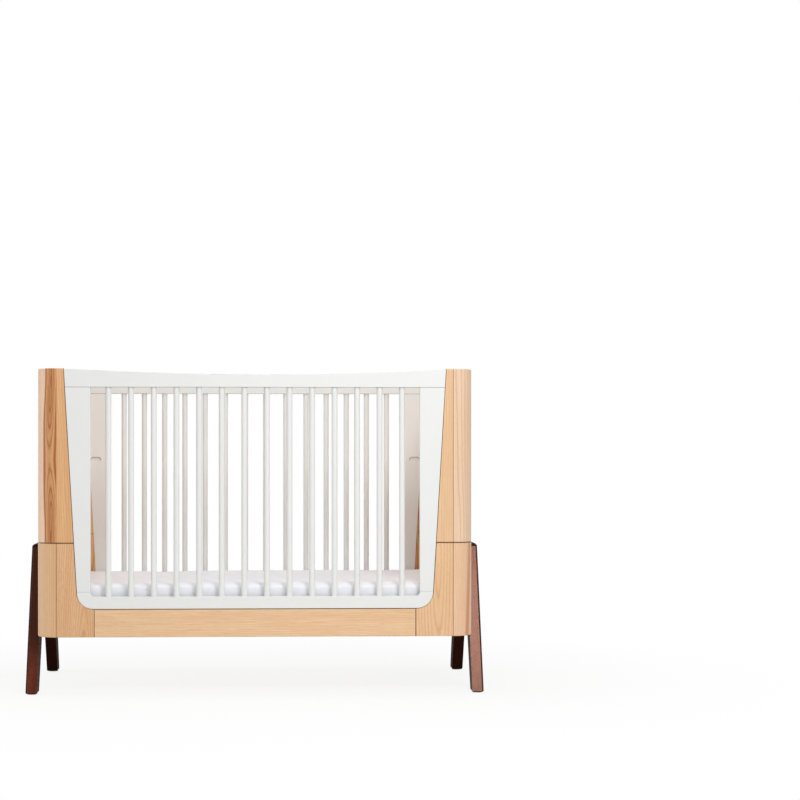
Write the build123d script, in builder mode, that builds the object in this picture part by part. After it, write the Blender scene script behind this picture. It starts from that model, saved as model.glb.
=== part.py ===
"""Baby crib: two wooden end units, white slatted sides, splayed legs, a slatted base and a mattress.

Millimetres, +Z up. The origin is on the floor, under the middle of the crib. X runs along the
length, and the front side frame faces -Y. Every corner piece is made once, for the front right
corner, and mirrored to the other corners.
"""
from build123d import *
from math import radians, sqrt, tan
import os

os.makedirs("parts", exist_ok=True)

# ---------------------------------------------------------------- driving dimensions
# The body: two end units with rounded corner posts, and the side frames between them.
body_length = 1342.0        # over the flat end panels
body_depth = 730.0          # over the side frames
floor_gap = 179.0           # floor to the underside of the end units
lower_section = 288.0       # height of the lower end sections
upper_section = 536.0       # height of the upper end sections
board = 24.0                # thickness of the panels, posts, wings, rails and side frames
post_radius = 62.0          # outside radius of the corner posts
wing_top_width = 22.2       # width of a wing at the very top
split_groove = 2.5          # height of the shadow groove along the split
split_groove_depth = 4.0    # how far the groove runs in from the face
wood_ease = 0.5             # small bevel on the edges of the wooden boards
rim_radius = 3.0            # rounded outer edges at the top and bottom of the end units
joint_gap = 0.3             # air between a side frame and the wing beside it

# The white side frames.
frame_lean = 3.33           # degrees that their outer edges lean outwards
frame_corner = 50.0         # radius of the two lower corners
top_rail_height = 57.5
top_rail_dip = 17.5         # how far the top edge hangs in the middle
bottom_rail_height = 36.8
stile_foot_width = 40.5     # width of a stile where it meets the bottom rail
opening_fillet = 10.5       # radius where the bottom rail sweeps up into a stile
rail_horn = 4.0             # straight end of the sweep, below the foot of a stile
paint_ease = 0.6            # small bevel on the painted edges
top_rail_round = 2.0        # rounded upper edges of the top rail

# The bars of each side.
bar_count = 14
bar_end_gap = 45.9          # clear gap between a stile and the first bar
bar_diameter = 18.0
bar_tenon_diameter = 12.0
bar_tenon = 14.0            # length of the tenon at each end
socket_slack = 1.0          # extra depth below a tenon, dowel or bolt

# The wooden rail under each side frame.
wood_rail_height = 85.8
bottom_rail_gap = 1.2       # air between the side frame and the wooden rail below it
wood_rail_end_inset = 1.2   # wing edge to where the round corner of the side frame begins
wood_rail_end_gap = 0.8     # air between a wooden rail and the wing beside it

# Sockets for the raised base, on the inner face of each stile.
socket_width = 34.0
socket_height = 23.0
socket_corner = 9.0
socket_depth = 8.0
socket_plate = 3.0          # thickness of the nylon plate at the bottom of the socket
socket_inset = 41.0         # from the inner edge of the stile to the middle of the socket
socket_drop = 287.5         # below the top of the end units

# Leg trestles: one at each end, outside the end panel.
leg_thickness = 36.0
leg_top_drop = 12.5         # top of the trestle below the split
leg_foot_inset = 25.0       # front of the foot behind the front of the body
leg_foot_width = 58.0
leg_top_width = 103.5
leg_top_gap = 100.4         # between the two legs of an end, at the top
leg_rail_height = 96.0
leg_ease = 6.0              # wide bevel on the outer edges of a leg
leg_rail_ease = 1.5         # small bevel on the other edges of a leg rail
leg_foot_ease = 3.0         # bevel around the foot
glide_thickness = 3.0
glide_diameter = 32.0
glide_inset = 28.0          # from the front of the foot to the middle of its glide

# Fittings.
cam_diameter = 15.0
cam_depth = 16.5
cam_setback = 24.0          # from the joint to the middle of the cam
cam_bolt_diameter = 6.0
cam_bolt_grip = 30.0        # how far the bolt runs into the piece beyond the joint
cam_slot_length = 10.5
cam_slot_width = 2.5
cam_slot_depth = 2.0
fit_clearance = 0.1         # air around a pin, dowel, bar or cam
dowel_diameter = 8.0
dowel_reach = 18.0          # how far a dowel runs into each piece
upper_cam_rises = (93.0, 293.0)      # heights above the split
lower_cam_drops = (42.0, 122.0)      # heights below the split
panel_cam_inset = 83.0      # from the edge of an end panel to its outer cams
rail_cam_drop = 28.0        # below the top of the wooden rail
rail_dowel_drop = 64.0
stile_dowel_inset = 12.0    # from the inner edge of a stile to its first dowel
stile_dowel_pitch = 17.0
leg_bolt_diameter = 8.0
leg_bolt_head = 18.0
leg_bolt_head_height = 5.0
leg_bolt_depth = 22.0       # how far the bolt runs into the leg
leg_bolt_drops = (55.0, 205.0)       # below the top of the leg
insert_diameter = 13.0
insert_length = 20.0
rail_bolt_inset = 30.0      # from the end of a leg rail to its bolt
rail_dowel_rise = 26.0      # leg rail dowels above and below its middle

# The base that carries the mattress, and the ledgers that it rests on.
ledger_height = 20.0
ledger_width = 24.0
ledger_rise = 2.0           # ledger underside above the underside of the body
ledger_end_gap = 19.0       # from the end of a ledger to the seam of the corner post
ledger_screw_length = 38.0
screw_diameter = 4.0
screw_head = 8.0
ledger_screw_count = 4
ledger_screw_inset = 48.0   # from the end of a ledger to its first screw
base_side_gap = 11.0        # air between the base and the walls around it
base_corner = 14.0
base_rail_width = 30.0
base_rail_height = 24.0
slat_thickness = 12.0
slat_width = 60.0
slat_count = 13
slat_end_inset = 4.0        # slat ends behind the outer faces of the base rails
slat_screw_length = 28.0
base_screw_length = 60.0
base_screw_inset = 9.0      # from the inner face of an end rail to its screws
base_screw_pitch = 12.0     # between the upper and the lower screw

# The mattress.
mattress_height = 100.0
mattress_side_gap = 12.0    # air between the mattress and the end panels
mattress_front_gap = 6.0    # air between the mattress and the side frames
mattress_corner_extra = 4.0 # its corner radius over that of the corner it lies in
mattress_edge = 24.0
seat_gap = 0.3              # air below the mattress

# ---------------------------------------------------------------- worked out from them
half_length = body_length / 2
half_depth = body_depth / 2
body_bottom = floor_gap
split_height = body_bottom + lower_section    # where the upper end sections stand on the lower ones
body_top = split_height + upper_section
panel_inside = half_length - board            # inner face of the end panels
side_inside = half_depth - board              # inner face of the side frames
board_middle_x = half_length - board / 2
board_middle_y = half_depth - board / 2
inner_radius = post_radius - board
post_x = half_length - post_radius            # centre of a corner post's curve
post_y = half_depth - post_radius
lean = tan(radians(frame_lean))
frame_top_half = post_x - wing_top_width - joint_gap
wood_rail_top = body_bottom + wood_rail_height
frame_bottom = wood_rail_top + bottom_rail_gap
opening_bottom = frame_bottom + bottom_rail_height
opening_top = body_top - top_rail_height
stile_foot = opening_bottom + opening_fillet + rail_horn
dowel_hole = dowel_diameter / 2 + fit_clearance
dowel_hole_depth = dowel_reach + socket_slack
post_pin_offset = (post_radius - board / 2) * sqrt(0.5)
leg_top = split_height - leg_top_drop
leg_foot_front = half_depth - leg_foot_inset
front_lean = (leg_foot_front - leg_top_gap / 2 - leg_top_width) / leg_top
rear_lean = (leg_foot_front - leg_foot_width - leg_top_gap / 2) / leg_top
ledger_bottom = body_bottom + ledger_rise
ledger_top = ledger_bottom + ledger_height
side_ledger_half = post_x - ledger_end_gap
end_ledger_half = post_y - ledger_end_gap
base_half_length = panel_inside - base_side_gap
base_half_depth = side_inside - base_side_gap
base_rail_top = ledger_top + base_rail_height
base_top = base_rail_top + slat_thickness
mattress_bottom = base_top + seat_gap


def frame_edge(height):
    """Half width of a side frame at this height."""
    return frame_top_half - (body_top - height) * lean


opening_half = frame_edge(stile_foot) - stile_foot_width
corner_run = (frame_corner + bottom_rail_gap) / tan(radians(90 + frame_lean) / 2)
wing_foot = frame_edge(wood_rail_top) + joint_gap - corner_run - wood_rail_end_inset
wood_rail_half = wing_foot - wood_rail_end_gap


def leg_front(height):
    """Distance of a leg's outer edge from the middle of the crib, at this height."""
    return leg_foot_front - height * front_lean


def leg_rear(height):
    """Distance of a leg's inner edge from the middle of the crib, at this height."""
    return leg_foot_front - leg_foot_width - height * rear_lean


def leg_middle(height):
    return (leg_front(height) + leg_rear(height)) / 2


def spread(count, span):
    """Evenly spaced places, centred on zero."""
    return [span * (place / (count - 1) - 0.5) for place in range(count)]


def save(piece, name):
    piece.part.label = name
    export_step(piece.part, f"parts/{name}.step")
    print(f"{name}: {len(piece.part.solids())} solids")


def save_mirrored(piece, name, *planes):
    """Write the same piece on another side of the crib."""
    shape = piece.part
    for plane in planes:
        shape = mirror(shape, about=plane, mode=Mode.PRIVATE)
    with BuildPart() as twin:
        add(shape)
    save(twin, name)


def save_at_corners(piece, name):
    """Write a front right piece at all four corners. The name has places for both sides."""
    save(piece, name.format(side="right", face="front"))
    save_mirrored(piece, name.format(side="left", face="front"), Plane.YZ)
    save_mirrored(piece, name.format(side="right", face="rear"), Plane.XZ)
    save_mirrored(piece, name.format(side="left", face="rear"), Plane.YZ, Plane.XZ)


def save_front_and_rear(piece, name):
    save(piece, name.format(face="front"))
    save_mirrored(piece, name.format(face="rear"), Plane.XZ)


def save_left_and_right(piece, name):
    save(piece, name.format(side="right"))
    save_mirrored(piece, name.format(side="left"), Plane.YZ)


def four_corners(shape):
    """A solid and its mirror images at the other three corners."""
    left = mirror(shape, about=Plane.YZ, mode=Mode.PRIVATE)
    rear = mirror(shape, about=Plane.XZ, mode=Mode.PRIVATE)
    rear_left = mirror(left, about=Plane.XZ, mode=Mode.PRIVATE)
    return [shape, left, rear, rear_left]


def two_ends(shape):
    return [shape, mirror(shape, about=Plane.YZ, mode=Mode.PRIVATE)]


def rod(start, direction, radius, length):
    """A round pin from a start point along a direction."""
    return Solid.make_cylinder(radius, length, Plane(origin=start, z_dir=direction))


TO_RIGHT = (1, 0, 0)
TO_LEFT = (-1, 0, 0)
TO_FRONT = (0, -1, 0)
TO_REAR = (0, 1, 0)
UP = (0, 0, 1)
DOWN = (0, 0, -1)

# ---------------------------------------------------------------- where the fittings go
cam_places = []         # (x of the joint, z) of each cam at the front right corner
for rise in upper_cam_rises:
    height = split_height + rise
    cam_places.append((frame_edge(height), height))
for drop in lower_cam_drops:
    height = split_height - drop
    cam_places.append((frame_edge(height), height))
rail_cam_z = wood_rail_top - rail_cam_drop
rail_dowel_z = wood_rail_top - rail_dowel_drop
panel_cam_ys = (panel_cam_inset - post_y, 0.0, post_y - panel_cam_inset)
stile_dowel_xs = [opening_half + stile_dowel_inset + step * stile_dowel_pitch for step in range(2)]
bar_xs = spread(bar_count, 2 * (opening_half - bar_end_gap) - bar_diameter)
socket_centre = (opening_half + socket_inset, body_top - socket_drop)
leg_bolt_places = [(-leg_middle(leg_top - drop), leg_top - drop) for drop in leg_bolt_drops]
leg_rail_middle = leg_top - leg_rail_height / 2
rail_bolt_y = leg_rear(leg_rail_middle) - rail_bolt_inset
rail_bolt_places = [(-rail_bolt_y, leg_rail_middle), (rail_bolt_y, leg_rail_middle)]
bolt_places_at_end = rail_bolt_places + leg_bolt_places + [(-y, z) for y, z in leg_bolt_places]


ledger_middle_z = ledger_bottom + ledger_height / 2
side_screw_xs = spread(ledger_screw_count, 2 * (side_ledger_half - ledger_screw_inset))
end_screw_ys = spread(ledger_screw_count, 2 * (end_ledger_half - ledger_screw_inset))


def screw(head_centre, direction, length, air=0.0):
    """A countersunk screw from the middle of its head, or its hole where there is air around it."""
    shank = rod(head_centre, direction, screw_diameter / 2 + air, length)
    head = Solid.make_cone(screw_head / 2 + air, screw_diameter / 2 + air,
                           (screw_head - screw_diameter) / 2, Plane(origin=head_centre, z_dir=direction))
    return shank + head


def screw_hole(head_centre, direction, length):
    return screw(head_centre, direction, length + socket_slack, fit_clearance)


def side_ledger_fixings(make):
    """Screws, or their holes, of the front ledger."""
    face_y = -(side_inside - ledger_width)
    return [make((x, face_y, ledger_middle_z), TO_FRONT, ledger_screw_length) for x in side_screw_xs]


def end_ledger_fixings(make):
    """Screws, or their holes, of the right ledger."""
    face_x = panel_inside - ledger_width
    return [make((face_x, y, ledger_middle_z), TO_RIGHT, ledger_screw_length) for y in end_screw_ys]


def cam_bolt_hole(x, z):
    """The bore for a cam bolt that crosses the joint at x, along the length of the crib."""
    length = cam_bolt_grip + socket_slack + cam_setback
    start = (x - cam_bolt_grip - socket_slack, -board_middle_y, z)
    return rod(start, TO_RIGHT, cam_bolt_diameter / 2 + fit_clearance, length)


def cam_pocket(x, z):
    """The pocket for a cam, from the inner face of a front board."""
    return rod((x, -side_inside, z), TO_FRONT, cam_diameter / 2 + fit_clearance, cam_depth)


def joint_pocket(x, z):
    """The pocket beside a side frame joint: the cam lies in the wing."""
    return cam_pocket(x + joint_gap + cam_setback, z)


def post_pin_hole(radius, start, direction, length):
    """The upright pin in the middle of the corner post's wall."""
    place = (post_x + post_pin_offset, -post_y - post_pin_offset, start)
    return rod(place, direction, radius, length)


# ---------------------------------------------------------------- corner posts
with BuildPart() as lower_post:
    with BuildSketch(Plane.XY.offset(body_bottom)):
        with BuildLine():
            outer = CenterArc((post_x, -post_y), post_radius, 270, 90)
            inner = CenterArc((post_x, -post_y), inner_radius, 270, 90)
            Line(outer @ 0, inner @ 0)
            Line(outer @ 1, inner @ 1)
        make_face()
    extrude(amount=split_height - body_bottom)
    fillet(lower_post.edges().group_by(Axis.Z)[0].filter_by(GeomType.CIRCLE).sort_by(SortBy.RADIUS)[-1],
           rim_radius)
    add(post_pin_hole(dowel_hole, split_height, DOWN, dowel_hole_depth), mode=Mode.SUBTRACT)

with BuildPart() as upper_post:
    for radius, low, high in (
        (post_radius - split_groove_depth, split_height, split_height + split_groove),
        (post_radius, split_height + split_groove, body_top),
    ):
        with BuildSketch(Plane.XY.offset(low)):
            with BuildLine():
                outer = CenterArc((post_x, -post_y), radius, 270, 90)
                inner = CenterArc((post_x, -post_y), inner_radius, 270, 90)
                Line(outer @ 0, inner @ 0)
                Line(outer @ 1, inner @ 1)
            make_face()
        extrude(amount=high - low)
    fillet(upper_post.edges().group_by(Axis.Z)[-1].filter_by(GeomType.CIRCLE).sort_by(SortBy.RADIUS)[-1],
           rim_radius)
    add(post_pin_hole(dowel_hole, split_height, UP, dowel_hole_depth), mode=Mode.SUBTRACT)

save_at_corners(lower_post, "{side}_lower_{face}_post")
save_at_corners(upper_post, "{side}_upper_{face}_post")

# ---------------------------------------------------------------- wings
# Flat boards beside the posts. Their inner edges follow the lean of the side frame.
with BuildPart() as upper_wing:
    for low, high, face_y in (
        (split_height, split_height + split_groove, half_depth - split_groove_depth),
        (split_height + split_groove, body_top, half_depth),
    ):
        with BuildSketch(Plane.XZ.offset(side_inside)):
            with BuildLine():
                Polyline(
                    (post_x, low),
                    (post_x, high),
                    (frame_edge(high) + joint_gap, high),
                    (frame_edge(low) + joint_gap, low),
                    close=True,
                )
            make_face()
        extrude(amount=face_y - side_inside)
    face_edges = upper_wing.faces().sort_by(Axis.Y)[0].edges().sort_by(Axis.Z)
    chamfer(face_edges[:-1], wood_ease)
    fillet(upper_wing.faces().sort_by(Axis.Y)[0].edges().sort_by(Axis.Z)[-1], rim_radius)
    for x, z in cam_places[:len(upper_cam_rises)]:
        add(cam_bolt_hole(x + joint_gap, z), mode=Mode.SUBTRACT)
        add(joint_pocket(x, z), mode=Mode.SUBTRACT)

with BuildPart() as lower_wing:
    with BuildSketch(Plane.XZ.offset(side_inside)):
        with BuildLine():
            Polyline(
                (post_x, body_bottom),
                (post_x, split_height),
                (frame_edge(split_height) + joint_gap, split_height),
                (frame_edge(wood_rail_top) + joint_gap, wood_rail_top),
                (wing_foot, wood_rail_top),
                (wing_foot, body_bottom),
                close=True,
            )
        make_face()
        under_corner = (frame_edge(wood_rail_top) + joint_gap, wood_rail_top, 0)
        fillet(vertices().sort_by_distance(under_corner)[0], frame_corner + bottom_rail_gap)
    extrude(amount=board)
    face_edges = lower_wing.faces().sort_by(Axis.Y)[0].edges().sort_by(Axis.Z)
    chamfer(face_edges[1:], wood_ease)
    fillet(lower_wing.faces().sort_by(Axis.Y)[0].edges().sort_by(Axis.Z)[0], rim_radius)
    for x, z in cam_places[len(upper_cam_rises):]:
        add(cam_bolt_hole(x + joint_gap, z), mode=Mode.SUBTRACT)
        add(joint_pocket(x, z), mode=Mode.SUBTRACT)
    add(cam_bolt_hole(wing_foot, rail_cam_z), mode=Mode.SUBTRACT)
    add(cam_pocket(wing_foot + cam_setback, rail_cam_z), mode=Mode.SUBTRACT)
    add(rod((wood_rail_half, -board_middle_y, rail_dowel_z), TO_RIGHT, dowel_hole, dowel_hole_depth),
        mode=Mode.SUBTRACT)
    for hole in side_ledger_fixings(screw_hole):
        add(hole, mode=Mode.SUBTRACT)

save_at_corners(upper_wing, "{side}_upper_{face}_wing")
save_at_corners(lower_wing, "{side}_lower_{face}_wing")

# ---------------------------------------------------------------- end panels
with BuildPart() as lower_end_panel:
    with BuildSketch(Plane.YZ.offset(panel_inside)):
        with BuildLine():
            Polyline(
                (-post_y, body_bottom),
                (post_y, body_bottom),
                (post_y, split_height),
                (-post_y, split_height),
                close=True,
            )
        make_face()
    extrude(amount=board)
    face_edges = lower_end_panel.faces().sort_by(Axis.X)[-1].edges().sort_by(Axis.Z)
    chamfer(face_edges[1:], wood_ease)
    fillet(lower_end_panel.faces().sort_by(Axis.X)[-1].edges().sort_by(Axis.Z)[0], rim_radius)
    for y in panel_cam_ys:
        add(rod((board_middle_x, y, split_height), DOWN, cam_bolt_diameter / 2 + fit_clearance,
                cam_bolt_grip + socket_slack), mode=Mode.SUBTRACT)
    for y, z in bolt_places_at_end:
        add(rod((panel_inside, y, z), TO_RIGHT, leg_bolt_head / 2 + fit_clearance,
                leg_bolt_head_height + fit_clearance), mode=Mode.SUBTRACT)
        add(rod((panel_inside, y, z), TO_RIGHT, leg_bolt_diameter / 2 + fit_clearance, board),
            mode=Mode.SUBTRACT)
    for hole in end_ledger_fixings(screw_hole):
        add(hole, mode=Mode.SUBTRACT)

with BuildPart() as upper_end_panel:
    for low, high, face_x in (
        (split_height, split_height + split_groove, half_length - split_groove_depth),
        (split_height + split_groove, body_top, half_length),
    ):
        with BuildSketch(Plane.YZ.offset(panel_inside)):
            with BuildLine():
                Polyline((-post_y, low), (post_y, low), (post_y, high), (-post_y, high), close=True)
            make_face()
        extrude(amount=face_x - panel_inside)
    face_edges = upper_end_panel.faces().sort_by(Axis.X)[-1].edges().sort_by(Axis.Z)
    chamfer(face_edges[:-1], wood_ease)
    fillet(upper_end_panel.faces().sort_by(Axis.X)[-1].edges().sort_by(Axis.Z)[-1], rim_radius)
    for y in panel_cam_ys:
        add(rod((board_middle_x, y, split_height), UP, cam_bolt_diameter / 2 + fit_clearance,
                cam_setback), mode=Mode.SUBTRACT)
        add(rod((panel_inside, y, split_height + cam_setback), TO_RIGHT,
                cam_diameter / 2 + fit_clearance, cam_depth), mode=Mode.SUBTRACT)

save_left_and_right(lower_end_panel, "{side}_lower_end_panel")
save_left_and_right(upper_end_panel, "{side}_upper_end_panel")

# ---------------------------------------------------------------- side frames
with BuildPart() as top_rail:
    with BuildSketch(Plane.XZ.offset(side_inside)):
        with BuildLine():
            top_end = frame_edge(body_top)
            low_end = frame_edge(opening_top)
            ThreePointArc((-top_end, body_top), (0, body_top - top_rail_dip), (top_end, body_top))
            Line((top_end, body_top), (low_end, opening_top))
            Line((low_end, opening_top), (-low_end, opening_top))
            Line((-low_end, opening_top), (-top_end, body_top))
        make_face()
    extrude(amount=board)
    for place in (0, -1):
        chamfer(top_rail.faces().sort_by(Axis.Y)[place].edges().filter_by(GeomType.LINE), paint_ease)
        fillet(top_rail.faces().sort_by(Axis.Y)[place].edges().filter_by(GeomType.CIRCLE), top_rail_round)
    for x in bar_xs:
        add(rod((x, -board_middle_y, opening_top), UP, bar_tenon_diameter / 2 + fit_clearance,
                bar_tenon + socket_slack), mode=Mode.SUBTRACT)
    for x in stile_dowel_xs:
        for place in (x, -x):
            add(rod((place, -board_middle_y, opening_top), UP, dowel_hole, dowel_hole_depth),
                mode=Mode.SUBTRACT)

with BuildPart() as bottom_rail:
    with BuildSketch(Plane.XZ.offset(side_inside)):
        with BuildLine():
            fillet_middle = opening_half - opening_fillet
            foot_edge = frame_edge(stile_foot)
            fillet_height = opening_bottom + opening_fillet
            right_sweep = CenterArc((fillet_middle, fillet_height), opening_fillet, 270, 90)
            left_sweep = CenterArc((-fillet_middle, fillet_height), opening_fillet, 180, 90)
            Line(left_sweep @ 1, right_sweep @ 0)
            Line(right_sweep @ 1, (opening_half, stile_foot))
            Line((opening_half, stile_foot), (foot_edge, stile_foot))
            Line((foot_edge, stile_foot), (frame_edge(frame_bottom), frame_bottom))
            Line((frame_edge(frame_bottom), frame_bottom), (-frame_edge(frame_bottom), frame_bottom))
            Line((-frame_edge(frame_bottom), frame_bottom), (-foot_edge, stile_foot))
            Line((-foot_edge, stile_foot), (-opening_half, stile_foot))
            Line((-opening_half, stile_foot), left_sweep @ 0)
        make_face()
        fillet(vertices().group_by(Axis.Y)[0], frame_corner)
    extrude(amount=board)
    chamfer(bottom_rail.faces().sort_by(Axis.Y)[0].edges(), paint_ease)
    chamfer(bottom_rail.faces().sort_by(Axis.Y)[-1].edges(), paint_ease)
    for x in bar_xs:
        add(rod((x, -board_middle_y, opening_bottom), DOWN, bar_tenon_diameter / 2 + fit_clearance,
                bar_tenon + socket_slack), mode=Mode.SUBTRACT)
    for x in stile_dowel_xs:
        for place in (x, -x):
            add(rod((place, -board_middle_y, stile_foot), DOWN, dowel_hole, dowel_hole_depth),
                mode=Mode.SUBTRACT)

with BuildPart() as stile:
    with BuildSketch(Plane.XZ.offset(side_inside)):
        with BuildLine():
            Polyline(
                (opening_half, stile_foot),
                (frame_edge(stile_foot), stile_foot),
                (frame_edge(opening_top), opening_top),
                (opening_half, opening_top),
                close=True,
            )
        make_face()
    extrude(amount=board)
    chamfer(stile.faces().sort_by(Axis.Y)[0].edges(), paint_ease)
    chamfer(stile.faces().sort_by(Axis.Y)[-1].edges(), paint_ease)
    with BuildSketch(Plane.XZ.offset(side_inside)):
        with Locations(socket_centre):
            RectangleRounded(socket_width, socket_height, socket_corner)
    extrude(amount=socket_depth, mode=Mode.SUBTRACT)
    for x, z in cam_places:
        add(cam_bolt_hole(x, z), mode=Mode.SUBTRACT)
    for x in stile_dowel_xs:
        add(rod((x, -board_middle_y, opening_top), DOWN, dowel_hole, dowel_hole_depth),
            mode=Mode.SUBTRACT)
        add(rod((x, -board_middle_y, stile_foot), UP, dowel_hole, dowel_hole_depth),
            mode=Mode.SUBTRACT)

with BuildPart() as spindles:
    for x in bar_xs:
        foot = (x, -board_middle_y, opening_bottom)
        add(rod(foot, UP, bar_diameter / 2, opening_top - opening_bottom))
        add(rod((x, -board_middle_y, opening_bottom - bar_tenon), UP, bar_tenon_diameter / 2,
                opening_top - opening_bottom + 2 * bar_tenon))

save_front_and_rear(top_rail, "{face}_top_rail")
save_front_and_rear(bottom_rail, "{face}_bottom_rail")
save_front_and_rear(spindles, "{face}_spindles")
save_at_corners(stile, "{face}_{side}_stile")

# ---------------------------------------------------------------- wooden rails below the frames
with BuildPart() as wood_rail:
    with BuildSketch(Plane.XZ.offset(side_inside)):
        with BuildLine():
            Polyline(
                (-wood_rail_half, body_bottom),
                (wood_rail_half, body_bottom),
                (wood_rail_half, wood_rail_top),
                (-wood_rail_half, wood_rail_top),
                close=True,
            )
        make_face()
    extrude(amount=board)
    face_edges = wood_rail.faces().sort_by(Axis.Y)[0].edges().sort_by(Axis.Z)
    chamfer(face_edges[1:], wood_ease)
    fillet(wood_rail.faces().sort_by(Axis.Y)[0].edges().sort_by(Axis.Z)[0], rim_radius)
    for hole in two_ends(cam_bolt_hole(wing_foot, rail_cam_z)):
        add(hole, mode=Mode.SUBTRACT)
    dowel_bore = rod((wood_rail_half, -board_middle_y, rail_dowel_z), TO_LEFT, dowel_hole,
                     dowel_hole_depth)
    for hole in two_ends(dowel_bore):
        add(hole, mode=Mode.SUBTRACT)
    for hole in side_ledger_fixings(screw_hole):
        add(hole, mode=Mode.SUBTRACT)

save_front_and_rear(wood_rail, "{face}_wood_rail")

# ---------------------------------------------------------------- leg trestles
with BuildPart() as leg:
    with BuildSketch(Plane.YZ.offset(half_length)):
        with BuildLine():
            Polyline(
                (-leg_front(glide_thickness), glide_thickness),
                (-leg_rear(glide_thickness), glide_thickness),
                (-leg_rear(leg_top), leg_top),
                (-leg_front(leg_top), leg_top),
                close=True,
            )
        make_face()
    extrude(amount=leg_thickness)
    outer_edges = leg.faces().sort_by(Axis.X)[-1].edges()
    front_edge = outer_edges.sort_by(SortBy.LENGTH)[-2:].sort_by(Axis.Y)[0]
    chamfer([front_edge, outer_edges.sort_by(Axis.Z)[-1]], leg_ease)
    chamfer(leg.faces().sort_by(Axis.Z)[0].edges(), leg_foot_ease)
    for y, z in leg_bolt_places:
        add(rod((half_length, y, z), TO_RIGHT, insert_diameter / 2 + fit_clearance,
                leg_bolt_depth + socket_slack), mode=Mode.SUBTRACT)
    for z in (leg_rail_middle - rail_dowel_rise, leg_rail_middle + rail_dowel_rise):
        add(rod((half_length + leg_thickness / 2, -leg_rear(z) - dowel_reach - socket_slack, z), TO_REAR,
                dowel_hole, dowel_reach * 2), mode=Mode.SUBTRACT)

with BuildPart() as leg_rail:
    with BuildSketch(Plane.YZ.offset(half_length)):
        with BuildLine():
            rail_low = leg_top - leg_rail_height
            Polyline(
                (-leg_rear(rail_low), rail_low),
                (leg_rear(rail_low), rail_low),
                (leg_rear(leg_top), leg_top),
                (-leg_rear(leg_top), leg_top),
                close=True,
            )
        make_face()
    extrude(amount=leg_thickness)
    outer_edges = leg_rail.faces().sort_by(Axis.X)[-1].edges().group_by(Axis.Z)
    chamfer(outer_edges[-1], leg_ease)
    chamfer(leg_rail.faces().sort_by(Axis.X)[-1].edges().group_by(Axis.Z)[0], leg_rail_ease)
    chamfer(leg_rail.faces().sort_by(Axis.X)[0].edges(), leg_rail_ease)
    for y, z in rail_bolt_places:
        add(rod((half_length, y, z), TO_RIGHT, insert_diameter / 2 + fit_clearance,
                leg_bolt_depth + socket_slack), mode=Mode.SUBTRACT)
    for z in (leg_rail_middle - rail_dowel_rise, leg_rail_middle + rail_dowel_rise):
        for face in (TO_REAR, TO_FRONT):
            side = face[1]
            add(rod((half_length + leg_thickness / 2, -side * (leg_rear(z) + dowel_reach), z), face,
                    dowel_hole, dowel_reach * 2 + socket_slack), mode=Mode.SUBTRACT)

save_at_corners(leg, "{side}_{face}_leg")
save_left_and_right(leg_rail, "{side}_leg_rail")

with BuildPart() as foot_glides:
    glide_y = -(leg_front(glide_thickness) - glide_inset)
    glide = rod((half_length + leg_thickness / 2, glide_y, 0), UP, glide_diameter / 2, glide_thickness)
    for shape in four_corners(glide):
        add(shape)
save(foot_glides, "foot_glides")

# ---------------------------------------------------------------- fittings
with BuildPart() as leg_bolts:
    for y, z in bolt_places_at_end:
        head = rod((panel_inside, y, z), TO_RIGHT, leg_bolt_head / 2, leg_bolt_head_height)
        shank = rod((panel_inside, y, z), TO_RIGHT, leg_bolt_diameter / 2, board + leg_bolt_depth)
        for shape in two_ends(head + shank):
            add(shape)
save(leg_bolts, "leg_bolts")

with BuildPart() as leg_inserts:
    for y, z in bolt_places_at_end:
        sleeve = rod((half_length, y, z), TO_RIGHT, insert_diameter / 2, insert_length)
        bore = rod((half_length, y, z), TO_RIGHT, leg_bolt_diameter / 2 + fit_clearance, insert_length)
        for shape in two_ends(sleeve - bore):
            add(shape)
save(leg_inserts, "leg_inserts")


def cam_at(middle, cam_axis, bolt_direction):
    """A cam with the bore that takes its bolt and a screwdriver slot in its face."""
    body = rod(middle, cam_axis, cam_diameter / 2, cam_depth)
    bolt_middle = Vector(middle) + Vector(cam_axis) * (board / 2)
    bore = rod(bolt_middle, bolt_direction, cam_bolt_diameter / 2 + fit_clearance, cam_diameter)
    slot_frame = Plane(origin=middle, z_dir=cam_axis)
    slot = slot_frame * Box(cam_slot_length, cam_slot_width, 2 * cam_slot_depth, mode=Mode.PRIVATE)
    return body - bore - slot


with BuildPart() as cam_locks:
    for x, z in cam_places:
        middle = (x + joint_gap + cam_setback, -side_inside, z)
        for shape in four_corners(cam_at(middle, TO_FRONT, TO_LEFT)):
            add(shape)
    middle = (wing_foot + cam_setback, -side_inside, rail_cam_z)
    for shape in four_corners(cam_at(middle, TO_FRONT, TO_LEFT)):
        add(shape)
    for y in panel_cam_ys:
        middle = (panel_inside, y, split_height + cam_setback)
        for shape in two_ends(cam_at(middle, TO_RIGHT, DOWN)):
            add(shape)
save(cam_locks, "cam_locks")

with BuildPart() as cam_bolts:
    wing_joints = [(x + joint_gap, z) for x, z in cam_places] + [(wing_foot, rail_cam_z)]
    for x, z in wing_joints:
        bolt = rod((x - cam_bolt_grip, -board_middle_y, z), TO_RIGHT, cam_bolt_diameter / 2,
                   cam_bolt_grip + cam_setback)
        for shape in four_corners(bolt):
            add(shape)
    for y in panel_cam_ys:
        bolt = rod((board_middle_x, y, split_height - cam_bolt_grip), UP, cam_bolt_diameter / 2,
                   cam_bolt_grip + cam_setback)
        for shape in two_ends(bolt):
            add(shape)
save(cam_bolts, "cam_bolts")

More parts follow.
